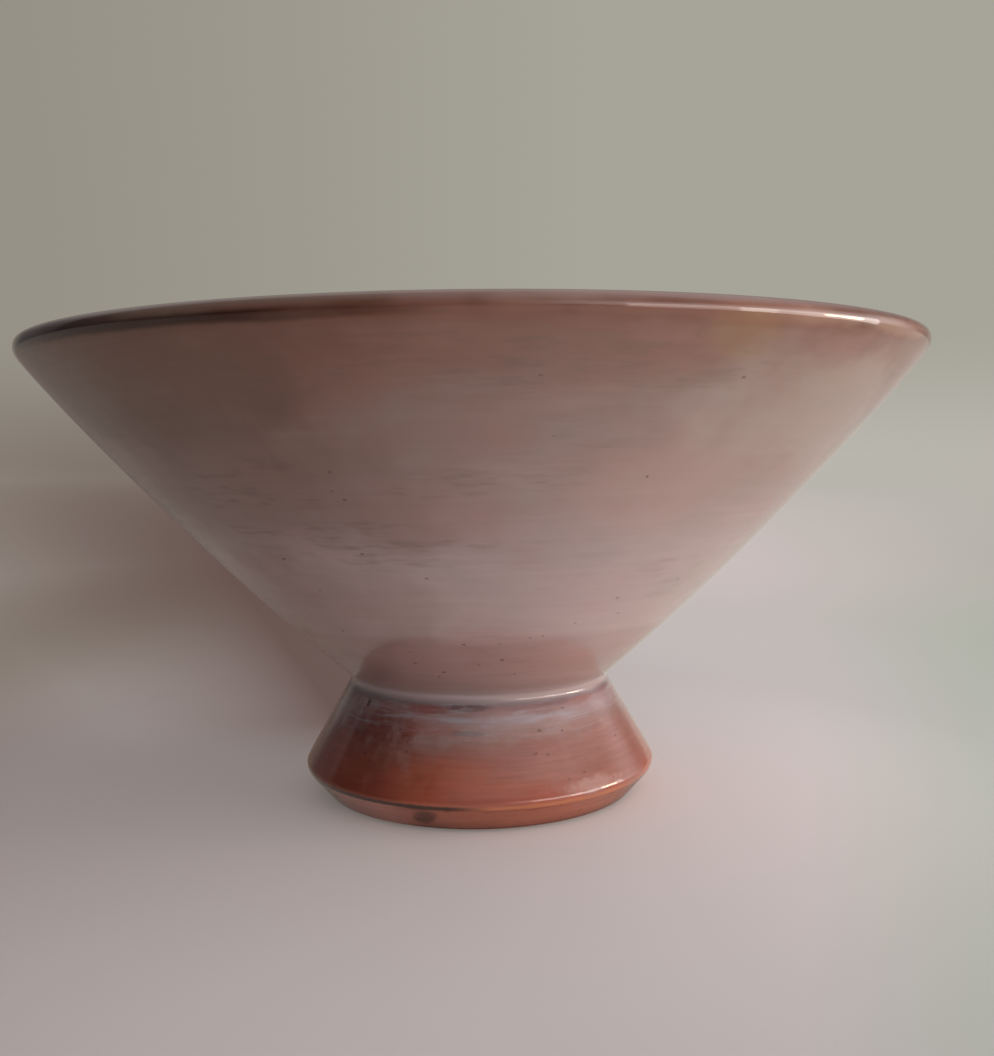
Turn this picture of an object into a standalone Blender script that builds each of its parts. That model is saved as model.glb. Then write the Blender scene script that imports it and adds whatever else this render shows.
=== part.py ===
# Footed pottery bowl in red earthenware.
# A wide conical bowl and a flared, hollow foot are thrown apart. The foot is luted under the bowl
# with slip and with two coils of clay, one in each corner of the neck. The outside then has a
# milky glaze, the inside a liner glaze, and the foot a thinner glaze that stops above the table.
# Metres, +Z up. The origin is on the table, in the middle of the standing ring.

import math

import bmesh
import bpy
from mathutils import Vector

# Bowl, bare clay
RIM_RADIUS = 0.1197                # crease under the lip, where the bowl is widest
BOWL_RISE = 0.0885                 # crease above the neck
RIM_LEAN = math.radians(39.2)      # wall from upright, at the crease
NECK_LEAN = math.radians(48.7)     # wall from upright, at the neck
BELLY_DROP = 0.0085                # underside of the floor below the neck, inside the foot
WALL = 0.0052                      # wall, half way up
FLOOR = 0.0085                     # floor, at its middle
LIP_RISE = 0.0028                  # crown of the lip above the crease
LIP_SET_IN = 0.0022                # outer edge of the crown inside the crease
LIP_CROWN = 0.0024                 # width of the crown, before its edges are softened
CREASE_ROUNDING = 0.0020
CROWN_ROUNDING = 0.0014

# Foot, bare clay
NECK_RADIUS = 0.0349               # corner where the foot meets the bowl
FOOT_HEIGHT = 0.0329               # that corner above the table
FLARE_RADIUS = 0.0490              # edge of the flare, where the foot is widest
FLARE_HEIGHT = 0.0084              # that edge above the table
FLARE_ROUNDING = 0.0018
RING_RADIUS = 0.0416               # outer edge of the standing ring
RING_WIDTH = 0.0060                # flat that the bowl stands on
HOLLOW_RADIUS = 0.0395             # widest place inside the foot, level with the flare
HOLLOW_ROUNDING = 0.0050

# Joint between bowl and foot
SLIP = 0.0008                      # layer of slip on the seat
SEAT_WIDTH = 0.0042                # seat of the foot under the bowl
COIL_DEPTH = 0.0022                # outer coil, from the neck corner in to the slip
COIL_LEG = 0.0045                  # outer coil, from the neck corner down the foot
COIL_ROUNDING = 0.0030             # hollow face of the outer coil
INNER_COIL_LEG = 0.0060            # inner coil, along the bowl and down the foot

# Glazes
OUTER_GLAZE = 0.0006
LINER_GLAZE = 0.0006
FOOT_GLAZE = 0.0005
BARE_RING = 0.0008                 # wiped clay between the table and the foot's glaze

CLEARANCE = 0.0003                 # between any two pieces that touch

SEGMENTS = 56                      # facets round the axis
BELLY_STEPS = 5
WALL_STEPS = 5
FLANK_STEPS = 2
ARC_STEPS = 2
FLARE_STEPS = 3
COIL_STEPS = 4
SHARP_ANGLE = math.radians(38)


def point(radius, height):
    return Vector((radius, height))


def lean(angle):
    """Way up and out, at an angle from upright."""
    return point(math.sin(angle), math.cos(angle))


def right_of(way):
    """Square to a way, on its right: out of the clay, where clay lies on the left."""
    return point(way.y, -way.x)


def curve(start, start_way, end_way, end, steps):
    """Smooth curve between two points that leaves and arrives in the given ways."""
    reach = (end - start).length / 3
    first = start + start_way * reach
    second = end - end_way * reach
    points = []
    for step in range(steps + 1):
        t = step / steps
        s = 1 - t
        points.append(start * s**3 + first * 3 * s * s * t + second * 3 * s * t * t + end * t**3)
    return points


def rounded(before, corner, after, radius, steps):
    """Arc that softens a corner, no larger than the two sides of the corner allow."""
    to_before = (before - corner).normalized()
    to_after = (after - corner).normalized()
    half = math.acos(to_before.dot(to_after)) / 2
    shorter = min((before - corner).length, (after - corner).length)
    radius = min(radius, 0.45 * shorter * math.tan(half))
    middle = corner + (to_before + to_after).normalized() * radius / math.sin(half)
    start = corner + to_before * radius / math.tan(half) - middle
    end = corner + to_after * radius / math.tan(half) - middle
    turn = start.angle_signed(end)
    arc = []
    for step in range(steps + 1):
        angle = -turn * step / steps
        cos, sin = math.cos(angle), math.sin(angle)
        arc.append(middle + point(start.x * cos - start.y * sin, start.x * sin + start.y * cos))
    return arc


def offset(points, distance):
    """Row of points moved out of the clay by one distance, or by a distance for each point."""
    distances = distance if isinstance(distance, list) else [distance] * len(points)
    ways = [(b - a).normalized() for a, b in zip(points, points[1:])]
    moved = []
    for index, (place, move) in enumerate(zip(points, distances)):
        before = ways[max(index - 1, 0)]
        after = ways[min(index, len(ways) - 1)]
        if place.x == 0:
            across = point(0, -1 if index == 0 else 1)
            moved.append(place + across * move)
            continue
        across = right_of((before + after).normalized())
        moved.append(place + across * move / across.dot(right_of(before)))
    return moved


def stretch(points, start, end):
    """Part of a row of points, between two distances along it."""
    part = []
    done = 0
    for a, b in zip(points, points[1:]):
        length = (b - a).length
        if done <= start <= done + length:
            part.append(a.lerp(b, (start - done) / length))
        if start < done + length < end:
            part.append(b)
        if done <= end <= done + length:
            part.append(a.lerp(b, (end - done) / length))
            break
        done += length
    return part


def crossing(a, b, c, d):
    """Where the line through a and b meets the line through c and d."""
    across = right_of(d - c)
    return a + (b - a) * (c - a).dot(across) / (b - a).dot(across)


def shell(points, inner, outer):
    """Closed outline of a coat that lies between two distances from the clay."""
    return offset(points, outer) + offset(points, inner)[::-1]


# Lines that the pieces share, as radius and height, with the clay on the left of each
neck = point(NECK_RADIUS, FOOT_HEIGHT)
crease = point(RIM_RADIUS, FOOT_HEIGHT + BOWL_RISE)
crown_outer = crease + point(-LIP_SET_IN, LIP_RISE)
crown_inner = crown_outer - point(LIP_CROWN, 0)
flare = point(FLARE_RADIUS, FLARE_HEIGHT)
ring_outer = point(RING_RADIUS, 0)
ring_inner = point(RING_RADIUS - RING_WIDTH, 0)

belly = curve(point(0, FOOT_HEIGHT - BELLY_DROP), point(1, 0), lean(NECK_LEAN), neck, BELLY_STEPS)
wall = curve(neck, lean(NECK_LEAN), lean(RIM_LEAN), crease, WALL_STEPS)
lip = rounded(wall[-2], crease, crown_outer, CREASE_ROUNDING, ARC_STEPS)
lip += rounded(crease, crown_outer, crown_inner, CROWN_ROUNDING, ARC_STEPS)
neck_arc = rounded(flare, neck, wall[1], COIL_ROUNDING, COIL_STEPS)
flare_arc = rounded(ring_outer, flare, neck, FLARE_ROUNDING, FLARE_STEPS)


def bowl_inside():
    """Inner face of the clay, from the floor's middle to below the lip."""
    outside = belly + wall[1:]
    lip_wall = (crown_inner - crease).dot(right_of(-lean(RIM_LEAN)))
    middle = len(belly) - 1 + WALL_STEPS / 2
    thicknesses = []
    for index in range(len(outside)):
        if index < middle:
            share = (1 - math.cos(math.pi * index / middle)) / 2
            thicknesses.append(FLOOR + (WALL - FLOOR) * share)
        else:
            share = (index - middle) / (len(outside) - 1 - middle)
            thicknesses.append(WALL + (lip_wall - WALL) * share)
    return offset(outside, [-thickness for thickness in thicknesses])[:-1]


inside = bowl_inside()
inner_lip = rounded(crown_outer, crown_inner, inside[-1], CROWN_ROUNDING, ARC_STEPS)

underside = belly[::-1]
seat_start = COIL_DEPTH
seat_end = COIL_DEPTH + SEAT_WIDTH
seat_clearance = SLIP + 2 * CLEARANCE


def below_bowl(start, end, distance):
    """Row of points under the bowl, between two distances in from the neck."""
    return offset(stretch(underside, start, end), -distance)


seat = below_bowl(seat_start, seat_end, seat_clearance)
coil_foot = neck + (flare - neck).normalized() * COIL_LEG
hollow = point(HOLLOW_RADIUS, FLARE_HEIGHT)
hollow_arc = rounded(seat[-1], hollow, ring_inner, HOLLOW_ROUNDING, FLARE_STEPS)


def bowl_outline():
    return belly + wall[1:-1] + lip + inner_lip + inside[::-1]


def foot_outline():
    flank = [flare_arc[-1].lerp(coil_foot, step / FLANK_STEPS) for step in range(1, FLANK_STEPS)]
    return [ring_outer] + flare_arc + flank + [coil_foot] + seat + hollow_arc + [ring_inner]


def slip_outline():
    upper = below_bowl(seat_start, seat_end, CLEARANCE)
    lower = below_bowl(seat_start, seat_end, CLEARANCE + SLIP)
    return lower + upper[::-1]


def outer_coil_outline():
    """Wedge between the bowl and the foot's cut-back top, with a hollow face outside."""
    face = neck_arc[:COIL_STEPS // 2 + 1]
    bowl_side = below_bowl(0, seat_start - CLEARANCE, CLEARANCE)
    top = neck + lean(NECK_LEAN) * (face[-1] - neck).dot(lean(NECK_LEAN))
    top += right_of(lean(NECK_LEAN)) * CLEARANCE
    foot_side = offset([coil_foot, seat[0]], CLEARANCE)
    bottom = crossing(neck, flare, *foot_side)
    deep_bowl, deep_clay = bowl_side[-1], stretch(underside, seat_start - CLEARANCE, seat_end)[0]
    deep_foot = crossing(deep_clay, deep_bowl, *foot_side)
    return [bottom] + face + [top] + bowl_side + [deep_foot]


def inner_coil_outline():
    """Roll of clay smoothed into the corner inside the foot, with a hollow face."""
    start = seat_end + CLEARANCE
    bowl_side = below_bowl(start, start + INNER_COIL_LEG, CLEARANCE)
    foot_side = offset([seat[-1], hollow_arc[0]], CLEARANCE)
    foot_side = stretch(foot_side, 0, INNER_COIL_LEG)
    corner = (bowl_side[0] + foot_side[0]) / 2
    tip, toe = bowl_side[-1], foot_side[-1]
    face = []
    for step in range(1, COIL_STEPS):
        t = step / COIL_STEPS
        chord = toe.lerp(tip, t)
        face.append(chord.lerp(corner, t * (1 - t)))
    return foot_side[::-1] + bowl_side + face[::-1]


def outer_glaze_outline():
    crown_middle = (crown_outer + crown_inner) / 2 + point(CLEARANCE / 2, 0)
    clay = neck_arc + wall[1:-1] + lip + [crown_middle]
    return shell(clay, CLEARANCE, CLEARANCE + OUTER_GLAZE)


def liner_glaze_outline():
    crown_middle = (crown_outer + crown_inner) / 2 - point(CLEARANCE / 2, 0)
    clay = [crown_middle] + inner_lip + inside[::-1]
    return shell(clay, CLEARANCE, CLEARANCE + LINER_GLAZE)


def foot_glaze_outline():
    bevel_way = (flare - ring_outer).normalized()
    hang = -right_of(bevel_way).y * (CLEARANCE + FOOT_GLAZE)
    lowest = ring_outer.lerp(flare, (BARE_RING + hang) / FLARE_HEIGHT)
    highest = neck_arc[0] + (flare - neck).normalized() * CLEARANCE
    flank = [flare_arc[-1].lerp(highest, step / FLANK_STEPS) for step in range(1, FLANK_STEPS)]
    clay = [lowest] + flare_arc + flank + [highest]
    return shell(clay, CLEARANCE, CLEARANCE + FOOT_GLAZE)


def to_linear(hex_colour):
    channels = []
    for start in (0, 2, 4):
        value = int(hex_colour[start:start + 2], 16) / 255
        channels.append(value / 12.92 if value <= 0.04045 else ((value + 0.055) / 1.055)**2.4)
    return (*channels, 1.0)


def material(name, hex_colour, roughness):
    made = bpy.data.materials.new(name)
    made.use_nodes = True
    surface = made.node_tree.nodes["Principled BSDF"]
    surface.inputs["Base Color"].default_value = to_linear(hex_colour)
    surface.inputs["Roughness"].default_value = roughness
    surface.inputs["Metallic"].default_value = 0.0
    made.diffuse_color = to_linear(hex_colour)
    return made


def turned(name, outline, finish):
    """Body of revolution about Z. An outline that starts and ends on the axis stays open there."""
    shape = bmesh.new()
    corners = [shape.verts.new((place.x, 0, place.y)) for place in outline]
    edges = [shape.edges.new(pair) for pair in zip(corners, corners[1:])]
    if outline[0].x > 0 or outline[-1].x > 0:
        edges.append(shape.edges.new((corners[-1], corners[0])))
    bmesh.ops.spin(shape, geom=corners + edges, cent=(0, 0, 0), axis=(0, 0, 1),
                   angle=math.tau, steps=SEGMENTS, use_merge=True)
    bmesh.ops.remove_doubles(shape, verts=shape.verts, dist=1e-6)
    bmesh.ops.recalc_face_normals(shape, faces=shape.faces)
    mesh = bpy.data.meshes.new(name)
    shape.to_mesh(mesh)
    shape.free()
    mesh.shade_smooth()
    mesh.set_sharp_from_angle(angle=SHARP_ANGLE)
    mesh.materials.append(finish)
    body = bpy.data.objects.new(name, mesh)
    bpy.context.scene.collection.objects.link(body)
    return body


def main():
    for leftover in list(bpy.data.objects):
        bpy.data.objects.remove(leftover)

    red_clay = material("fired_red_earthenware", "8f543e", 0.85)
    coil_clay = material("smoothed_earthenware", "97604a", 0.85)
    slip_clay = material("fired_slip", "a9735c", 0.9)
    milky = material("milky_mauve_glaze", "a78e88", 0.18)
    liner = material("milky_liner_glaze", "ad958e", 0.18)
    amber = material("thin_amber_glaze", "a0604b", 0.2)

    turned("thrown_bowl", bowl_outline(), red_clay)
    turned("pedestal_foot", foot_outline(), red_clay)
    turned("slip_seam", slip_outline(), slip_clay)
    turned("outer_luting_coil", outer_coil_outline(), coil_clay)
    turned("inner_luting_coil", inner_coil_outline(), coil_clay)
    turned("outer_glaze", outer_glaze_outline(), milky)
    turned("liner_glaze", liner_glaze_outline(), liner)
    turned("foot_glaze", foot_glaze_outline(), amber)


main()
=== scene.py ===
import math

import bpy
from mathutils import Matrix


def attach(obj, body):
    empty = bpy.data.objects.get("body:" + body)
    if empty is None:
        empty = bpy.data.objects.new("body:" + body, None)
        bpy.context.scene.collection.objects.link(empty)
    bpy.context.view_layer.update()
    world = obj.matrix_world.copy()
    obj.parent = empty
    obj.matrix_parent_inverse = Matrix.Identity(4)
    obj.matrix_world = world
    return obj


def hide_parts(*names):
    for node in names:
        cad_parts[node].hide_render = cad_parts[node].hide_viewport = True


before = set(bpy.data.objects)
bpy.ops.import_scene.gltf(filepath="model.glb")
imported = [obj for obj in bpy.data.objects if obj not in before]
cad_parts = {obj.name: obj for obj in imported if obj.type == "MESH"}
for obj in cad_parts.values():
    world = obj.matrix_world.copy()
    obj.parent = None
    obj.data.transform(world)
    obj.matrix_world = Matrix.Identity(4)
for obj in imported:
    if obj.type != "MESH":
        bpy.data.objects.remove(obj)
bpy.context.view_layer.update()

# The bowl: red earthenware, thrown on the wheel in one piece, floor, wall and rounded lip.
# Both glazes cover its clay, which shows only as the ceiling of the hollow foot.
MM = 0.001
SIDES = 96                   # points round each ring, which the subdivision doubles
WELD = 0.01                  # points closer than this, in millimetres, become one
BOWL_RINGS = [
    (0, 24.4), (3.6, 24.42), (7.4, 24.53), (14.9, 25.12), (22.2, 26.49), (29.0, 28.98),
    (34.9, 32.9), (50.05, 46.62), (64.79, 60.79), (79.13, 75.39), (93.06, 90.38),
    (106.3, 105.72), (114.9, 116.3), (117.9, 120.1), (118.95, 121.41), (119.05, 122.4),
    (118.4, 123.3), (117.2, 123.7), (115.7, 123.7), (114.7, 123.3), (109.12, 116.93),
    (95.92, 101.49), (82.32, 86.39), (68.28, 71.71), (53.67, 57.6), (38.54, 44.1),
    (30.94, 37.9), (25.93, 35.13), (20.24, 33.73), (13.86, 33.07), (7.0, 32.89), (0, 32.9)]


def throw(name, rings):
    """Draws one ring of points through each (radius, height), in millimetres, as the potter's
    hand draws up the clay. A radius of 0 closes the form on the wheel's axis."""
    bpy.ops.object.select_all(action="DESELECT")
    on_axis = rings[0][0] == 0
    radius, height = rings[1] if on_axis else rings[0]
    bpy.ops.mesh.primitive_circle_add(
        vertices=SIDES, radius=radius * MM, location=(0, 0, height * MM))
    piece = bpy.context.object
    piece.name = piece.data.name = name
    bpy.ops.object.mode_set(mode="EDIT")
    if on_axis:
        bpy.ops.mesh.extrude_edges_move()
        bpy.ops.mesh.merge(type="CENTER")
        bpy.ops.transform.translate(value=(0, 0, (rings[0][1] - height) * MM))
        bpy.ops.mesh.select_all(action="DESELECT")
        bpy.ops.mesh.select_non_manifold()
    for next_radius, next_height in rings[2 if on_axis else 1:]:
        rise = (0, 0, (next_height - height) * MM)
        bpy.ops.mesh.extrude_edges_move(TRANSFORM_OT_translate={"value": rise})
        if next_radius == 0:
            bpy.ops.mesh.merge(type="CENTER")
            break
        share = next_radius / radius
        bpy.ops.transform.resize(
            value=(share, share, 1), center_override=(0, 0, next_height * MM))
        radius, height = next_radius, next_height
    bpy.ops.mesh.select_all(action="SELECT")
    bpy.ops.mesh.remove_doubles(threshold=WELD * MM)
    bpy.ops.mesh.normals_make_consistent(inside=False)
    bpy.ops.object.mode_set(mode="OBJECT")
    bpy.ops.object.transform_apply(location=True, rotation=True, scale=True)
    rounding = piece.modifiers.new("rounding", "SUBSURF")
    rounding.levels = rounding.render_levels = 1
    bpy.ops.object.modifier_apply(modifier=rounding.name)
    bpy.ops.object.shade_smooth()
    return piece


def linear(hex_colour):
    """The colour that a hex code names, in the linear values that a shader takes."""
    channels = [int(hex_colour[start:start + 2], 16) / 255 for start in (1, 3, 5)]
    return (*(c / 12.92 if c <= 0.04045 else ((c + 0.055) / 1.055)**2.4 for c in channels), 1)


def add(tree, kind, inputs=None, stops=None, **settings):
    """Adds a node with its settings, its inputs set or linked, and a ramp's stops."""
    made = tree.nodes.new(kind)
    for name, value in settings.items():
        setattr(made, name, value)
    for name, value in (inputs or {}).items():
        if isinstance(value, bpy.types.NodeSocket):
            tree.links.new(value, made.inputs[name])
        else:
            made.inputs[name].default_value = value
    for number, (place, colour) in enumerate(stops or []):
        elements = made.color_ramp.elements
        stop = elements[number] if number < 2 else elements.new(place)
        stop.position, stop.color = place, linear(colour)
    return made


def ramp(tree, share, stops):
    """The colour at a share of the way along the stops."""
    return add(tree, "ShaderNodeValToRGB", {"Fac": share}, stops=stops).outputs[0]


def spread(tree, value, start, end, low=0.0, high=1.0, soft=False):
    """A number that is low up to the start and high from the end on. In between it follows the
    value, evenly or softly eased."""
    limits = {"Value": value, "From Min": start, "From Max": end, "To Min": low, "To Max": high}
    style = "SMOOTHSTEP" if soft else "LINEAR"
    return add(tree, "ShaderNodeMapRange", limits, interpolation_type=style).outputs[0]


def blend(tree, share, under, over):
    """One colour laid over another by a share. Colours are hex codes or sockets."""
    under, over = (linear(c) if isinstance(c, str) else c for c in (under, over))
    return add(tree, "ShaderNodeMix", {0: share, 6: under, 7: over}, data_type="RGBA").outputs[2]


def noise(tree, place, scale, detail, roughness=0.5):
    """Soft clouds between 0 and 1, this many to the millimetre."""
    return add(tree, "ShaderNodeTexNoise", {
        "Vector": place, "Scale": scale, "Detail": detail, "Roughness": roughness}).outputs["Fac"]


def start_finish(name, roughness):
    """A finish with its shader, and the place on the bowl in millimetres."""
    finish = bpy.data.materials.new(name)
    finish.use_nodes = True
    tree = finish.node_tree
    surface = tree.nodes["Principled BSDF"]
    surface.inputs["Roughness"].default_value = roughness
    metres = add(tree, "ShaderNodeTexCoord").outputs["Object"]
    place = add(tree, "ShaderNodeVectorMath", {0: metres, "Scale": 1 / MM}, operation="SCALE")
    return finish, tree, surface, place.outputs["Vector"]


def wheel_marks(tree, place, tall, long, detail=3.0):
    """Streaks that run round with the wheel, tall and long in millimetres."""
    drawn_out = add(tree, "ShaderNodeMapping", {
        "Vector": place, "Scale": (1 / long, 1 / long, 1 / tall)}).outputs[0]
    return noise(tree, drawn_out, 1.0, detail, roughness=0.6)


def paint(tree, surface, colour, height=None, depth=0.0, strength=1.0):
    """Lays a colour on a surface, with a relief of this depth in millimetres."""
    tree.links.new(colour, surface.inputs["Base Color"])
    if height is not None:
        relief = add(tree, "ShaderNodeBump", {
            "Height": height, "Distance": depth * MM, "Strength": strength})
        tree.links.new(relief.outputs[0], surface.inputs["Normal"])


# Fired red earthenware, wiped with a sponge: matt, orange-brown, with darker iron grains of
# about half a millimetre and fine turning lines.
CLAY_TONES = [(0.3, "#8a4c34"), (0.7, "#b06a4c")]
GRAIN_SHADE = "#55291c"
GRAIN_CELL = 1.25            # millimetres across, with one grain in each

clay, tree, surface, place = start_finish("fired_red_earthenware", roughness=0.88)
turning = wheel_marks(tree, place, tall=0.9, long=45)
grains = add(tree, "ShaderNodeTexVoronoi", {"Vector": place, "Scale": 1 / GRAIN_CELL})
is_grain = spread(tree, grains.outputs["Distance"], 0.12, 0.3, low=0.55, high=0.0)
clay_colour = blend(tree, is_grain, ramp(tree, turning, CLAY_TONES), GRAIN_SHADE)
paint(tree, surface, clay_colour, turning, depth=0.25, strength=0.8)

bowl = throw("thrown_clay_bowl", BOWL_RINGS)
bowl.data.materials.append(clay)
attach(bowl, "root")
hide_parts("thrown_bowl")

# The foot: a hollow flared ring of the same clay, thrown by itself and turned leather-hard.
# Its standing ring and its hollow are left bare, so that it doesn't stick to the kiln shelf.
FOOT_RINGS = [
    (38.6, 0), (41.2, 0), (41.55, 0.1), (41.9, 0.45), (45.0, 3.9), (48.15, 7.43), (48.6, 8.44),
    (48.36, 9.52), (46.11, 13.42), (41.63, 21.21), (37.14, 29.0), (34.0, 30.45), (32.83, 29.57),
    (30.29, 28.12), (33.1, 22.1), (38.51, 10.51), (38.98, 8.4), (38.52, 6.29), (36.6, 2.2),
    (35.85, 0.5), (35.75, 0.12), (36.0, 0), (38.6, 0)]
foot = throw("thrown_clay_foot", FOOT_RINGS)
foot.data.materials.append(clay)
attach(foot, "root")
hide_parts("pedestal_foot")

# What joins the two: slip brushed on the foot's seat, and a coil of soft clay worked into the
# corner on each side. The slip and the outer coil are hidden by the glaze, so they stay as built.
INNER_COIL_RINGS = [
    (32.56, 22.56), (31.3, 25.2), (30.02, 28.0), (29.49, 28.93), (29.1, 28.71), (27.5, 28.0),
    (25.76, 27.3), (23.86, 26.7), (25.0, 26.5), (25.92, 26.35), (27.42, 26.02), (28.59, 25.59),
    (29.68, 24.95), (30.92, 23.98), (31.8, 23.2), (32.56, 22.56)]
inner_coil = throw("smoothed_clay_coil", INNER_COIL_RINGS)
inner_coil.data.materials.append(clay)
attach(inner_coil, "root")
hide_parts("inner_luting_coil")

# Slip is the same clay as a cream: finer and a little paler, with no grains.
SLIP_TONES = [(0.3, "#a0684f"), (0.7, "#b98369")]
slip, tree, surface, place = start_finish("fired_slip", roughness=0.9)
paint(tree, surface, ramp(tree, wheel_marks(tree, place, tall=0.6, long=12), SLIP_TONES))
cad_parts["slip_seam"].material_slots[0].material = slip
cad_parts["outer_luting_coil"].material_slots[0].material = clay

# The outer coat: a milky mauve glaze, poured over the outside from the neck to the lip's crown.
# It breaks to bare brown on the lip's crease, thins to red below it, and has pooled at the neck.
# The crease's darkest band is partly painted shade over that bare brown.
NECK_JOINT = (36.94, 31.15)
CROWN_JOINT = (116.3, 124.6)
MILKY_RINGS = [
    NECK_JOINT, (36.70, 31.65), (36.61, 32.14), (36.63, 32.65), (36.78, 33.12), (37.04, 33.54),
    (37.42, 33.94), (39.5, 35.8), (43.13, 39.03), (50.66, 45.96), (58.09, 53.0), (65.42, 60.15),
    (72.65, 67.41), (79.78, 74.77), (86.85, 82.22), (93.87, 89.77), (100.8, 97.41),
    (107.75, 105.14), (114.35, 112.94), (118.0, 117.35), (119.65, 119.6), (120.1, 120.6),
    (120.28, 121.4), (120.27, 122.1), (120.15, 122.7), (119.93, 123.25), (119.55, 123.72),
    (119.05, 124.08), (118.4, 124.34), (117.7, 124.5), (117.0, 124.58), CROWN_JOINT]
MILKY_THICKNESS = 0.6
SMOOTH_UP_TO = 40            # degrees: a rim that bends more keeps its edge


def give_thickness(skin, thickness, seen_from_inside=False):
    """Turns a skin into a coat of glaze that reaches down to the clay, with its rims closed."""
    if seen_from_inside:
        bpy.ops.object.mode_set(mode="EDIT")
        bpy.ops.mesh.select_all(action="SELECT")
        bpy.ops.mesh.flip_normals()
        bpy.ops.object.mode_set(mode="OBJECT")
    coat = skin.modifiers.new("coat", "SOLIDIFY")
    coat.thickness, coat.offset, coat.use_even_offset = thickness * MM, -1, True
    bpy.ops.object.modifier_apply(modifier=coat.name)
    bpy.ops.object.shade_smooth_by_angle(angle=math.radians(SMOOTH_UP_TO))


milky_coat = throw("milky_outer_coat", MILKY_RINGS)
give_thickness(milky_coat, MILKY_THICKNESS)

# Milky glaze: opaque white oxide clouding a clear lead-rich glaze over red clay. Thick it is
# mauve-grey, thin it lets the red through. Fired glossy, it mirrors its surroundings sharply.
GLAZE_IOR = 1.62
MILKY_ROUGHNESS = 0.06
MILKY_CLOUD = 28             # millimetres across
GREENISH, PINKISH = "#97928a", "#aa857e"
RAGGED = 1.6                 # how much clouds wear at a patch's edge, in its half widths


def reckon(tree, operation, *values):
    """One step of arithmetic on numbers or sockets."""
    return add(tree, "ShaderNodeMath", dict(enumerate(values)), operation=operation).outputs[0]


def spot(tree, place, centre, wide, tall, strength, clouds=None):
    """How far a place lies inside an oval patch: strength in its middle, 0 outside. Its half
    width and half height are in millimetres. Clouds make its edge ragged."""
    within = add(tree, "ShaderNodeMapping", {
        "Vector": place, "Location": (-centre[0] / wide, -centre[1] / wide, -centre[2] / tall),
        "Scale": (1 / wide, 1 / wide, 1 / tall)}).outputs[0]
    away = add(tree, "ShaderNodeVectorMath", {0: within}, operation="LENGTH").outputs["Value"]
    if clouds is not None:
        away = reckon(tree, "MULTIPLY_ADD", clouds, RAGGED, away)
        away = reckon(tree, "SUBTRACT", away, RAGGED / 2)
    return spread(tree, away, 1.0, 0.35, high=strength, soft=True)


def lay_patches(tree, place, clouds, colour, patches):
    """Covers a colour with patches. Each has its place, its half width and half height in
    millimetres, how much it covers, and its own colour."""
    for centre, wide, tall, strength, shade in patches:
        cover = spot(tree, place, centre, wide, tall, strength, clouds)
        colour = blend(tree, cover, colour, shade)
    return colour


def by_height(tree, height, clouds, shades, looseness):
    """A colour for each height in millimetres, which the clouds push up and down. The
    looseness says how far, in millimetres at each height."""
    low, high = looseness[0][0], looseness[-1][0]
    most = max(reach for _, reach in looseness)
    loose = add(tree, "ShaderNodeFloatCurve", {"Value": spread(tree, height, low, high)})
    points = loose.mapping.curves[0].points
    for h, reach in looseness:
        # The curve's own last point stays too, at the most, which only the top edge meets.
        point = points[0] if h == low else points.new(0.5, 0.5)
        point.location = ((h - low) / (high - low), reach / most)
        point.handle_type = "VECTOR"
    loose.mapping.update()
    sway = reckon(tree, "MULTIPLY", reckon(tree, "SUBTRACT", clouds, 0.5), most)
    sway = reckon(tree, "MULTIPLY_ADD", sway, loose.outputs[0], height)
    low, high = shades[0][0], shades[-1][0]
    stops = [((h - low) / (high - low), shade) for h, shade in shades]
    return ramp(tree, spread(tree, sway, low, high), stops)


def shade_by_marks(tree, colour, marks, low, high):
    """Darkens and lightens a colour along the wheel's marks."""
    shading = spread(tree, marks, 0.3, 0.7, low=low, high=high)
    shaded = add(tree, "ShaderNodeVectorMath", {0: colour, "Scale": shading}, operation="SCALE")
    return shaded.outputs[0]


def start_milky_glaze(name, shades, looseness):
    """The milky glaze with its clouds of pink and grey-green, and its marks from the wheel."""
    finish, tree, surface, place = start_finish(name, MILKY_ROUGHNESS)
    surface.inputs["IOR"].default_value = GLAZE_IOR
    height = add(tree, "ShaderNodeSeparateXYZ", {"Vector": place}).outputs["Z"]
    clouds = noise(tree, place, 1 / MILKY_CLOUD, 3.0, roughness=0.55)
    colour = by_height(tree, height, clouds, shades, looseness)
    mottle = wheel_marks(tree, place, tall=8, long=19, detail=2.5)
    colour = blend(tree, spread(tree, mottle, 0.48, 0.72, high=0.22), colour, GREENISH)
    colour = blend(tree, spread(tree, mottle, 0.5, 0.28, high=0.26), colour, PINKISH)
    fine = wheel_marks(tree, place, tall=1.5, long=34)
    colour = shade_by_marks(tree, colour, fine, 0.96, 1.04)
    return finish, tree, surface, place, clouds, fine, colour


# On the outside: its colour from the neck up, and the patches where it is thinner or thicker.
# Other patches are painted light: painted shade on the left of the wall and lip, a painted
# reflection on the lip's top at the left, and painted highlight and sheen on the right.
MILKY_BY_HEIGHT = [
    (31.1, "#8d7f80"), (31.8, "#a2908f"), (32.8, "#b19f9f"), (34.2, "#a9938f"), (36.5, "#a58983"),
    (43, "#ad8e8a"), (49.5, "#b0938f"), (52, "#bfa7a4"), (72, "#b7a1a0"), (89, "#a88e8a"),
    # from 120.3 to 121.9 mm: the crease's bare brown, darkened further by painted shade
    (103, "#9a7f79"), (112, "#906f66"), (118, "#8a6459"), (119.7, "#7b5044"), (120.3, "#5b3023"),
    (120.7, "#421d14"), (121.4, "#3c1b12"), (121.9, "#5a392c"), (122.5, "#6a473b"),
    (123.4, "#6e4e42"), (125.1, "#745549")]
MILKY_LOOSENESS = [
    (31.1, 0.6), (42, 4), (52, 4), (58, 20), (95, 20), (112, 14), (118, 1.2), (119.5, 0.3),
    (125.1, 0.3)]
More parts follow.
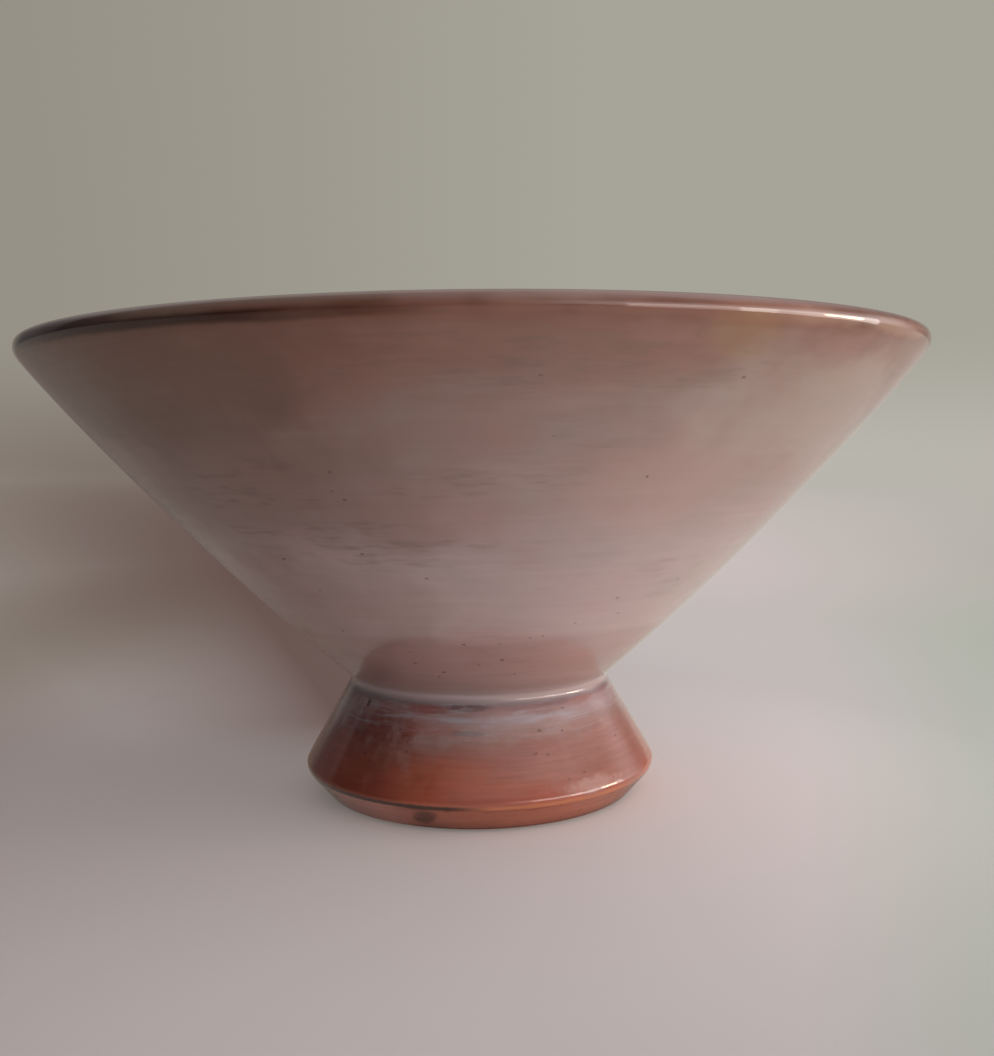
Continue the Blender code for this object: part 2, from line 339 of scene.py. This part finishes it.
MILKY_PATCHES_AND_PAINTED_LIGHT = [
    ((-34, -106, 110), 44, 15, 0.36, "#8b5a4e"), ((8, -113, 115), 56, 9, 0.3, "#8b5a4e"),
    ((-30, -91, 93), 24, 8, 0.15, "#8b5a4e"), ((-8, -99, 98), 34, 7, 0.2, "#8b5a4e"),
    # painted shade: the wall darker on the left
    ((-78, -84, 112), 70, 24, 0.48, "#6f574c"), ((-50, -78, 90), 62, 24, 0.45, "#75594f"),
    # the second is a painted sheen: the wall paler on the right
    ((30, -84, 88), 44, 15, 0.3, "#b9968e"), ((76, -72, 104), 48, 17, 0.5, "#ad9d96"),
    # the first is painted shade on the crease's left half
    ((-66, -100, 120.8), 78, 1.6, 0.75, "#34170d"), ((46, -110, 124), 75, 2.6, 0.6, "#7a5246"),
    # painted highlights: the crease paler toward the right
    ((38, -113, 121), 78, 2.4, 0.85, "#8a5d50"), ((92, -76, 121.2), 52, 2.6, 0.85, "#9a7767"),
    # a painted reflection on the lip's top at the left, then painted shade low on the left
    ((-60, -100, 123.7), 74, 1.5, 0.6, "#786459"), ((-34, -52, 57), 30, 24, 0.3, "#7d574f"),
    ((-6, -86, 84), 28, 12, 0.3, "#9c6f67"), ((30, -58, 60), 30, 20, 0.3, "#c2a6a8"),
    # painted shade low on the left, and at the crease's left end
    ((-31, -33, 41), 18, 8, 0.35, "#86605a"), ((-82, -88, 122.4), 26, 1.6, 0.65, "#23110a"),
    ((17, -118.6, 122.4), 24, 1.6, 0.3, "#94796f")]

milky, tree, surface, place, clouds, fine, colour = start_milky_glaze(
    "milky_mauve_glaze", MILKY_BY_HEIGHT, MILKY_LOOSENESS)
colour = lay_patches(tree, place, clouds, colour, MILKY_PATCHES_AND_PAINTED_LIGHT)

# Where the sponge has dragged, the glaze is torn into short soft strokes, a millimetre high.
# Up on the right there is an ochre smudge.
TORN_SHADE, TORN_CLOUD = "#6e5d56", 30
TORN_PATCHES = [
    ((-47, -78, 88), 30, 7, 1.0), ((3, -93, 89), 38, 6, 0.7), ((-45, -84, 93), 16, 4, 0.9),
    ((-8, -82, 76), 18, 3, 0.8), ((-36, -70, 77), 34, 6, 0.8), ((-24, -72, 73), 26, 4, 0.8),
    ((6, -111, 112), 62, 8, 0.6)]
OCHRE_SMUDGE = [((50.3, -106.4, 117.6), 11, 6, 0.18, "#a98c54")]

torn = spread(tree, noise(tree, place, 1 / TORN_CLOUD, 1.0), 0.56, 0.68, high=0.3)
for centre, wide, tall, strength in TORN_PATCHES:
    torn = reckon(tree, "MAXIMUM", torn, spot(tree, place, centre, wide, tall, strength, clouds))
strokes = wheel_marks(tree, place, tall=1.7, long=11, detail=2.0)
strokes = spread(tree, strokes, 0.44, 0.8, high=0.7, soft=True)
colour = blend(tree, reckon(tree, "MULTIPLY", strokes, torn), colour, TORN_SHADE)
colour = lay_patches(tree, place, clouds, colour, OCHRE_SMUDGE)

# Iron grains from the clay have melted into dark specks: those of the photograph, each with
# its place and radius, and others strewn between them.
IRON = "#41291f"
SQUASHED = 1.7               # how much wider than tall a listed speck is
GRIT, GRIT_SCALE = 0.8, 1.4  # how uneven a speck's edge is: millimetres, clouds a millimetre
NO_SPECK = 9.0               # millimetres: further off than any speck reaches
IRON_SPECKS = [
    (52.4, -97.9, 109.7, 0.6), (-44.4, -62.3, 71.5, 0.4), (-25.3, -74.2, 73.5, 0.3),
    (-11.3, -71.9, 67.6, 0.3), (-37.0, -57.8, 63.4, 0.25), (-33.2, -46.3, 52.0, 0.3),
    (-3.5, -54.4, 49.6, 0.35), (5.0, -54.4, 49.7, 0.25), (12.2, -54.7, 51.1, 0.3),
    (-15.8, -45.4, 43.7, 0.3), (-16.8, -49.0, 47.1, 0.25), (5.6, -49.0, 44.8, 0.4),
    (-8.7, -44.4, 41.1, 0.4), (8.7, -43.3, 40.2, 0.25), (32.7, -57.2, 60.8, 0.35),
    (33.7, -51.3, 56.3, 0.3), (48.5, -49.7, 64.2, 0.3), (22.9, -55.0, 54.6, 0.25),
    (11.9, -110.4, 109.7, 0.35), (-27.4, -85.9, 85.9, 0.35)]


def specks(tree, place, listed, cell, share, size, strength):
    """Where the listed specks lie, and others strewn at random, one in a share of cells. The
    cell and the size of its speck are in millimetres."""
    strewn = add(tree, "ShaderNodeTexVoronoi", {"Vector": place, "Scale": 1 / cell})
    luck = add(tree, "ShaderNodeSeparateColor", {"Color": strewn.outputs["Color"]}).outputs[0]
    empty = reckon(tree, "GREATER_THAN", luck, share)
    gap = reckon(tree, "MULTIPLY_ADD", strewn.outputs["Distance"], cell, -size)
    gap = reckon(tree, "MULTIPLY_ADD", empty, NO_SPECK, gap)
    squashed = add(tree, "ShaderNodeMapping", {"Vector": place, "Scale": (1, 1, SQUASHED)})
    for x, y, z, radius in listed:
        away = add(tree, "ShaderNodeVectorMath", {
            0: squashed.outputs[0], 1: (x, y, SQUASHED * z)}, operation="DISTANCE")
        edge = reckon(tree, "SUBTRACT", away.outputs["Value"], radius)
        gap = reckon(tree, "MINIMUM", edge, gap)
    gap = reckon(tree, "MULTIPLY_ADD", noise(tree, place, GRIT_SCALE, 1.0), GRIT, gap)
    return spread(tree, gap, 0.65, 0.3, high=strength)


speck = specks(tree, place, IRON_SPECKS, cell=5.0, share=0.07, size=0.25, strength=0.6)
paint(tree, surface, blend(tree, speck, colour, IRON), fine, depth=0.02)

milky_coat.data.materials.append(milky)
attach(milky_coat, "root")
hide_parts("outer_glaze")

# The liner: the same glaze, poured in and swilled round. It is a little paler, most of all on
# the floor of the bowl, and the potter's fingers left rings under it.
LINER_RINGS = [
    CROWN_JOINT, (115.6, 124.58), (115.1, 124.48), (114.64, 124.28), (114.24, 124.0),
    (113.9, 123.68), (112.5, 122.1), (108.43, 117.51), (101.89, 109.75), (95.24, 102.08),
    (88.5, 94.5), (81.66, 87.0), (74.72, 79.6), (67.64, 72.34), (60.42, 65.23), (53.06, 58.26),
    (45.57, 51.45), (37.95, 44.78), (30.6, 38.6), (28.05, 36.95), (25.62, 35.95), (22.97, 35.19),
    (20.1, 34.62), (13.81, 33.97), (7.0, 33.79), (3.5, 33.79), (0, 33.8)]
LINER_BY_HEIGHT = [
    (33.7, "#c3b4b0"), (36, "#b8a5a0"), (45, "#b5a19b"), (70, "#b4a19b"), (95, "#ae9891"),
    (112, "#a3857b"), (120, "#966f63"), (123.4, "#7d5649"), (124.6, "#704c3f"), (125.1, "#745549")]
LINER_LOOSENESS = [(33.7, 0.8), (50, 22), (100, 22), (119, 9), (123.4, 0.8), (125.1, 0.5)]
FINGER_RINGS = {"Scale": 0.05, "Distortion": 2.2, "Detail": 1.0, "Detail Scale": 0.4}
FINGER_SHARE = 0.7           # how tall a finger ring is beside the fine marks
liner_coat = throw("milky_liner_coat", LINER_RINGS)
give_thickness(liner_coat, MILKY_THICKNESS, seen_from_inside=True)

liner, tree, surface, place, clouds, fine, colour = start_milky_glaze(
    "milky_liner_glaze", LINER_BY_HEIGHT, LINER_LOOSENESS)
speck = specks(tree, place, [], cell=6.0, share=0.09, size=0.35, strength=0.75)
fingers = add(tree, "ShaderNodeTexWave", {"Vector": place, **FINGER_RINGS},
              wave_type="RINGS", rings_direction="Z").outputs["Fac"]
fingers = reckon(tree, "MULTIPLY_ADD", fingers, FINGER_SHARE, fine)
paint(tree, surface, blend(tree, speck, colour, IRON), fingers, depth=0.14)

liner_coat.data.materials.append(liner)
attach(liner_coat, "root")
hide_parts("liner_glaze")

# The foot's coat: a thinner brush-out of the glaze, through which the clay burns orange.
# It is cloudy blue-grey under the neck, and is wiped off just above the table.
FOOT_COAT_RINGS = [
    (43.37, 0.8), (43.9, 1.4), (45.2, 2.88), (47.2, 5.15), (48.79, 6.95), (49.22, 7.58),
    (49.45, 8.36), (49.40, 9.17), (49.08, 9.86), (48.3, 11.25), (46.63, 14.12), (44.21, 18.32),
    (41.8, 22.52), (39.38, 26.72), (37.5, 30.0), NECK_JOINT]
FOOT_THICKNESS = 0.5
AMBER_ROUGHNESS = 0.07
AMBER_CLOUD = 8              # millimetres across
AMBER_BY_HEIGHT = [
    (0.8, "#5f3023"), (1.5, "#935845"), (4, "#ac6954"), (6.8, "#a9644e"), (7.4, "#8f4c38"),
    (8.2, "#a5553b"), (9.6, "#a7553d"), (12, "#a15740"), (15, "#9e5d4c"), (18, "#996155"),
    (21, "#96695f"), (24, "#9b7b75"), (27, "#9f8684"), (29, "#9b7b78"), (30.3, "#8c6d6c"),
    (31.15, "#887a7d")]
AMBER_LOOSENESS = [(0.8, 0.3), (11, 6), (15, 12), (26, 10), (29, 2), (31.15, 0.4)]

# How thin it is, and how deep the kiln has burnt it, changes round the foot. Some patches are
# painted light instead: painted shade on the left, painted sheen on the right, and a painted
# reflection on the left flank.
FOOT_PATCHES_AND_PAINTED_LIGHT = [
    # darker and redder on the left: partly burnt clay colour, partly painted shade
    ((-36, -30, 14), 29, 17, 0.6, "#652819"), ((-26, -27, 24), 14, 6, 0.5, "#54241b"),
    # the second is a painted sheen: paler and greyer on the right
    ((-10, -45, 12), 22, 8, 0.5, "#b0604a"), ((36, -30, 15), 34, 12, 0.55, "#9c756d"),
    ((16, -43, 15), 14, 6, 0.35, "#a47a72"), ((34, -32, 12), 22, 9, 0.35, "#84584e"),
    ((6, -48, 10), 22, 3.5, 0.3, "#8c5f5c"), ((-24, -41, 10.5), 18, 5, 0.22, "#6d2313"),
    # a painted reflection, a pale veil on the left flank, then a painted sheen by the flare's edge
    ((-41, -25, 14), 13, 13, 0.5, "#9a5548"), ((30, -38, 10.6), 13, 2.2, 0.5, "#bf9d94"),
    ((-13, -36, 29.6), 8, 1.8, 0.6, "#8c4c42"), ((-3.5, -37, 30.2), 8, 1.1, 0.7, "#4b373d"),
    ((-13.5, -38, 25), 9, 3, 0.5, "#9c5a4c"), ((12, -38, 27.4), 19, 1.7, 0.45, "#a39ba3"),
    ((-6.5, -38.4, 27.5), 6, 0.8, 0.6, "#9d9ba6"), ((-2.5, -40.7, 24.4), 6, 0.9, 0.45, "#6c6a6c"),
    ((34, -22, 28), 17, 2.5, 0.5, "#ab979b"), ((19, -32, 30.2), 8, 1, 0.4, "#6d5658"),
    ((27, -26, 30), 6, 1, 0.5, "#9c6a60"), ((-26, -30, 25.5), 18, 7, 0.35, "#7c3328"),
    ((-5, -37.5, 29.4), 11, 2.2, 0.3, "#7d5c59"), ((-37, -28, 14.5), 16, 9, 0.25, "#8e3a28")]
FOOT_IRON = "#3a2420"
FOOT_SPECKS = [
    (14.0, -41.4, 19.3, 0.4), (17.1, -40.5, 18.8, 0.35), (15.2, -37.8, 24.3, 0.5),
    (21.1, -35.3, 23.6, 0.3), (29.7, -22.7, 30.2, 0.3), (21.6, -31.5, 28.7, 0.45),
    (26.6, -38.7, 13.6, 0.4), (22.5, -41.7, 12.8, 0.3), (34.6, -34.0, 10.8, 0.3),
    (-29.8, -33.0, 17.9, 0.5), (-28.6, -35.0, 16.6, 0.35), (-20.5, -35.2, 24.4, 0.35),
    (-19.4, -36.6, 23.2, 0.4), (-18.8, -39.1, 19.7, 0.35), (38.6, -24.2, 16.6, 0.35)]
WISP_SHADE = "#a59fa5"
# the flare's edge carries painted shade on the left and a painted glint on the right
FLARE_EDGE, EDGE_SHADE_LEFT, EDGE_GLINT_RIGHT = 7.75, "#2c140d", "#b9714f"
WHITE_BEVEL, BEVEL_SHADE = (-31, -35, 4), "#c58576"
BURNT_BLOTCH, DRAG_MARK, MARK_SHADE = (-14.2, -45.2, 4.9), (-29.4, -24.1, 29.0), "#3c1a11"

foot_coat = throw("amber_foot_coat", FOOT_COAT_RINGS)
give_thickness(foot_coat, FOOT_THICKNESS)

amber, tree, surface, place = start_finish("thin_amber_glaze", AMBER_ROUGHNESS)
surface.inputs["IOR"].default_value = GLAZE_IOR
parts = add(tree, "ShaderNodeSeparateXYZ", {"Vector": place})
height, across = parts.outputs["Z"], parts.outputs["X"]
clouds = noise(tree, place, 1 / AMBER_CLOUD, 4.0, roughness=0.62)
colour = by_height(tree, height, clouds, AMBER_BY_HEIGHT, AMBER_LOOSENESS)
colour = lay_patches(tree, place, clouds, colour, FOOT_PATCHES_AND_PAINTED_LIGHT)

# Wisps of the milky glaze have run down over the amber one, all round under the neck.
wisps = spread(tree, wheel_marks(tree, place, tall=1.4, long=10), 0.52, 0.7, high=0.6)
under_neck = spread(tree, height, 20, 28, soft=True)
colour = blend(tree, reckon(tree, "MULTIPLY", wisps, under_neck), colour, WISP_SHADE)

# The flare's edge: a painted line along it, painted shade on the left and a painted orange glint
# on the right, where it fades toward the far side.
edge = reckon(tree, "ABSOLUTE", reckon(tree, "SUBTRACT", height, FLARE_EDGE))
edge = reckon(tree, "MULTIPLY_ADD", clouds, -0.9, edge)
edge = spread(tree, edge, 0.25, -0.15, high=0.9)
edge = reckon(tree, "MULTIPLY", edge, spread(tree, across, 44, 28, low=0.2, soft=True))
edge_shade_and_glint = blend(tree, spread(tree, across, -9, 5, soft=True), EDGE_SHADE_LEFT, EDGE_GLINT_RIGHT)
colour = blend(tree, edge, colour, edge_shade_and_glint)

# The bevel under it is whitish on the left and has a burnt blotch, and a black mark was dragged
# by the neck. Last come the specks and the wheel's marks.
bevel = spread(tree, height, 7.6, 7.0)
white = reckon(tree, "MULTIPLY", spot(tree, place, WHITE_BEVEL, 19, 30, 1.0), bevel)
colour = blend(tree, white, colour, BEVEL_SHADE)
for centre, wide, tall, worn in ((BURNT_BLOTCH, 4.6, 4.0, clouds), (DRAG_MARK, 0.95, 2.6, None)):
    colour = blend(tree, spot(tree, place, centre, wide, tall, 0.7, worn), colour, MARK_SHADE)
speck = specks(tree, place, FOOT_SPECKS, cell=3.6, share=0.12, size=0.22, strength=0.4)
colour = blend(tree, speck, colour, FOOT_IRON)
fine = wheel_marks(tree, place, tall=0.9, long=14)
paint(tree, surface, shade_by_marks(tree, colour, fine, 0.9, 1.08), fine, depth=0.03)

foot_coat.data.materials.append(amber)
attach(foot_coat, "root")
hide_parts("foot_glaze")

# The stage: a wide sheet of pale paper that sweeps up into the backdrop. Near the bowl it is
# the paper under the light, and far off it runs out into the backdrop's own colour.
PAPER_RINGS = [(radius, 0) for radius in (0, 5, 100, 300, 600, 1000, 3000, 12000)]
# the darker stops just left of the middle are a painted shadow of the bowl
HORIZON = [(0.0, "#a39c95"), (0.22, "#938a82"), (0.35, "#7f746c"), (0.48, "#a8a099"),
           (0.6, "#b9b6ae"), (1.0, "#b4afa8")]
TOP = [(0.0, "#a29f94"), (0.22, "#908b80"), (0.4, "#9b978c"), (0.55, "#a7a499"), (1.0, "#a7a499")]
# painted light: the paper paler near the bowl; painted shade: browner and darker to the left
PAPER_TINTS_AND_PAINTED_LIGHT = [(0.0, "#f4ebec"), (0.4, "#d3cccd"), (1.0, "#c4c6be")]
LEFT_PAINTED_SHADE, NO_CAST, RIGHT_CAST = "#c4b2a5", "#ffffff", "#e6f5ea"
ROSY, SHADE_BEHIND = "#cbbebc", "#67524d"
FAN_START = 320              # millimetres in front of the bowl, where the fan of light starts
DRAWN_TOGETHER = 700, 300    # nearer than this the backdrop's colours draw together: to the eye,
#                              and in the glaze's mirror, in millimetres
WEDGE_TIP = 80               # millimetres over which the wedge of shade is rounded at the bowl


def backdrop_colour(tree, across, up=None):
    """The backdrop's colour, paler to the right, where the light comes from, with a painted shadow
    of the bowl darker just left of the middle. Without a way up it is the colour at the horizon."""
    side = spread(tree, across, -1.0, 1.0)
    horizon = add(tree, "ShaderNodeValToRGB", {"Fac": side}, stops=HORIZON)
    horizon.color_ramp.interpolation = "EASE"
    if up is None:
        return horizon.outputs[0]
    rise = spread(tree, up, -0.02, 0.1, soft=True)
    return blend(tree, rise, horizon.outputs[0], ramp(tree, side, TOP))


floor = throw("paper_floor", PAPER_RINGS)
paper, tree, surface, place = start_finish("pale_paper", roughness=1.0)
surface.inputs["Specular IOR Level"].default_value = 0.0
far = add(tree, "ShaderNodeVectorMath", {0: place}, operation="LENGTH").outputs["Value"]
parts = add(tree, "ShaderNodeSeparateXYZ", {0: place})
across, back = parts.outputs["X"], parts.outputs["Y"]
path = add(tree, "ShaderNodeLightPath")
seen, mirrored = path.outputs["Is Camera Ray"], path.outputs["Is Glossy Ray"]

# The paper is pinkish and paler near the bowl, a painted light under it; browner and darker to
# the left, a painted shade; and greener at the right margin.
tint = ramp(tree, spread(tree, far, 50, 350), PAPER_TINTS_AND_PAINTED_LIGHT)
left = blend(tree, spread(tree, across, -300, 15, soft=True), LEFT_PAINTED_SHADE, NO_CAST)
fan = reckon(tree, "DIVIDE", across, reckon(tree, "ADD", back, FAN_START))
margin = reckon(tree, "MULTIPLY", spread(tree, fan, 0.3, 0.45), spread(tree, back, -280, -140))
right = blend(tree, margin, NO_CAST, RIGHT_CAST)
for cast in (left, right):
    tint = add(tree, "ShaderNodeVectorMath", {0: tint, 1: cast}, operation="MULTIPLY").outputs[0]
paint(tree, surface, tint)

# A rosy fan of light lies behind the bowl on the right, to the eye only.
rosy = reckon(tree, "MULTIPLY", spread(tree, fan, 0.46, 0.24), seen)
for value, start, end in (
        (fan, 0.02, 0.14), (back, 0, 60),             # its left side, and its near end
        (far, 120, 260), (far, 2400, 500)):           # clear of the foot, and gone far off
    rosy = reckon(tree, "MULTIPLY", rosy, spread(tree, value, start, end))
eye, mirror = DRAWN_TOGETHER
reach = reckon(tree, "MULTIPLY_ADD", mirrored, mirror - eye, eye)
heading = reckon(tree, "DIVIDE", across, reckon(tree, "MAXIMUM", far, reach))
glow_colour = blend(tree, rosy, backdrop_colour(tree, heading), ROSY)

# Far off the paper glows in the backdrop's colour. The glaze mirrors that glow everywhere:
# dark right under the bowl, and dimmer again toward the camera and to the left.
more = spread(tree, far, 45, 55, low=-0.6, high=0.15)
more = reckon(tree, "SUBTRACT", more, spread(tree, back, -300, -1100, high=0.85))
more = reckon(tree, "SUBTRACT", more, spread(tree, across, -60, -220, high=0.45))
strength = reckon(tree, "MULTIPLY_ADD", mirrored, more, 1.0)
glow = add(tree, "ShaderNodeEmission", {"Color": glow_colour, "Strength": strength})
fade = spread(tree, far, 100, 650, low=0.33, soft=True)
fade = reckon(tree, "MULTIPLY_ADD", fade, seen, mirrored)
laid = add(tree, "ShaderNodeMixShader", {0: fade, 1: surface.outputs[0], 2: glow.outputs[0]})

# A soft wedge of shade lies behind the bowl on the left.
bearing = reckon(tree, "DIVIDE", across, reckon(tree, "ADD", far, WEDGE_TIP))
shade = spread(tree, bearing, -0.56, -0.29, high=0.95)
for part in (
        spread(tree, bearing, -0.02, -0.24, soft=True),     # its right side
        spread(tree, back, 5, 80, soft=True),               # its near end
        spread(tree, far, 4000, 500),                       # gone far off
        reckon(tree, "ADD", seen, mirrored)):               # it gives no light of its own
    shade = reckon(tree, "MULTIPLY", shade, part)
dark = add(tree, "ShaderNodeEmission", {"Color": linear(SHADE_BEHIND)})
laid = add(tree, "ShaderNodeMixShader", {0: shade, 1: laid.outputs[0], 2: dark.outputs[0]})
tree.links.new(laid.outputs[0], tree.nodes["Material Output"].inputs["Surface"])
floor.data.materials.append(paper)

# The light: a long low window on the right, a pale wall behind, and a ceiling that is brighter
# to the right. A small lamp stands for the bright sky in the window, which draws the hot lines.
WINDOW, CEILING, SKYLIGHT, REAR, ROOM = 1.4, 0.9, 0.85, 0.55, 0.06
WALL, WALL_MIRRORED = 0.09, 0.07
ROOM_TINT = "#fcfcff"
LAMP_AWAY = 0.87             # metres from the bowl's axis
LAMPS = [                    # azimuth in degrees, width, height and rise in metres, watts
    ("window_side", 79, 0.70, 0.36, 0.08, 2.5, "#fff8f2"),
    ("window_front", 49, 0.56, 0.42, 0.04, 1.85, "#ffeee4"),
    ("window_sky", 87, 0.20, 0.10, 0.14, 1.5, "#ffc496")]


def from_side(tree, way, azimuth, elevation, start, end, most, soft=False):
    """Light that grows to its most as the way nears a side of the room. Azimuth 0 is the
    camera's side and 90 the right one."""
    turn, rise = math.radians(azimuth), math.radians(elevation)
    side = (math.sin(turn) * math.cos(rise), -math.cos(turn) * math.cos(rise), math.sin(rise))
    nearness = add(tree, "ShaderNodeVectorMath", {0: way, 1: side}, operation="DOT_PRODUCT")
    return spread(tree, nearness.outputs["Value"], start, end, high=most, soft=soft)


world = bpy.data.worlds.new("room")
bpy.context.scene.world = world
world.use_nodes = True
tree = world.node_tree
way = add(tree, "ShaderNodeTexCoord").outputs["Generated"]
parts = add(tree, "ShaderNodeSeparateXYZ", {0: way})
right, ahead, up = parts.outputs["X"], parts.outputs["Y"], parts.outputs["Z"]
path = add(tree, "ShaderNodeLightPath")
seen, mirrored = path.outputs["Is Camera Ray"], path.outputs["Is Glossy Ray"]

# The wall is paler higher up, and in the glaze's mirror. The skylight and the rear light are
# down to a fifth there, so that they light the bowl without showing in it.
pale = reckon(tree, "MULTIPLY_ADD", mirrored, WALL_MIRRORED, WALL)
pale = reckon(tree, "MULTIPLY", pale, spread(tree, up, 0.2, 0.6, low=0.35, high=1.9))
light = from_side(tree, way, 157, 0, -0.02, 0.02, pale)
dimmed = reckon(tree, "MULTIPLY_ADD", mirrored, -0.8, 1.0)
for part, share in (
        (from_side(tree, way, 70, 0, 0.45, 0.85, WINDOW, soft=True),
         spread(tree, up, 0.42, 0.2, soft=True)),
        (from_side(tree, way, 85, 20, -0.2, 0.95, CEILING),
         spread(tree, up, 0.45, 0.95, soft=True)),
        (from_side(tree, way, 45, 48, 0.5, 0.95, SKYLIGHT, soft=True), dimmed),
        (from_side(tree, way, 180, 40, 0.66, 0.97, REAR, soft=True), dimmed)):
    light = reckon(tree, "MULTIPLY_ADD", part, share, light)
room = tree.nodes["Background"]
room.inputs["Color"].default_value = linear(ROOM_TINT)
tree.links.new(reckon(tree, "ADD", light, ROOM), room.inputs["Strength"])

# The camera sees the backdrop instead, and so does the glaze where it mirrors straight ahead.
colour = backdrop_colour(tree, right, up)
backdrop = add(tree, "ShaderNodeBackground", {"Color": colour, "Strength": 1.0})
straight = spread(tree, ahead, 0.7, 0.9, soft=True)
straight = reckon(tree, "MULTIPLY_ADD", straight, mirrored, seen)
shown = add(tree, "ShaderNodeMixShader", {0: straight, 1: room.outputs[0], 2: backdrop.outputs[0]})
tree.links.new(shown.outputs[0], tree.nodes["World Output"].inputs["Surface"])

for name, azimuth, wide, tall, rise, watts, tint in LAMPS:
    bpy.ops.object.light_add(type="AREA")
    lamp = bpy.context.object
    lamp.name = name
    lamp.data.shape = "RECTANGLE"
    lamp.data.size, lamp.data.size_y = wide, tall
    lamp.data.energy = watts
    lamp.data.color = linear(tint)[:3]
    lamp.matrix_world = (Matrix.Translation((0, 0, rise))
                         @ Matrix.Rotation(math.radians(azimuth), 4, "Z")
                         @ Matrix.Rotation(math.radians(90), 4, "X")
                         @ Matrix.Translation((0, 0, LAMP_AWAY)))
    lamp.visible_camera = False

# The camera: a phone's, held about 0.2 m from the near rim, just under the lip's height, and
# tilted a little down. Its place and lens follow from the bowl's outline in the photograph.
CAMERA_AWAY, CAMERA_HEIGHT = 0.3183, 0.0962
SENSOR_WIDTH, FOCAL_LENGTH = 36, 38.11
TURN, TILT_DOWN, ROLL = -1.006, 4.07, -0.632

bpy.ops.object.camera_add()
camera = bpy.context.object
camera.name = "phone_camera"
camera.data.sensor_width = SENSOR_WIDTH
camera.data.lens = FOCAL_LENGTH
camera.matrix_world = (Matrix.Translation((0, -CAMERA_AWAY, CAMERA_HEIGHT))
                       @ Matrix.Rotation(math.radians(TURN), 4, "Z")
                       @ Matrix.Rotation(math.radians(90 - TILT_DOWN), 4, "X")
                       @ Matrix.Rotation(math.radians(ROLL), 4, "Z"))
bpy.context.scene.camera = camera
bpy.context.scene.view_settings.view_transform = "Standard"
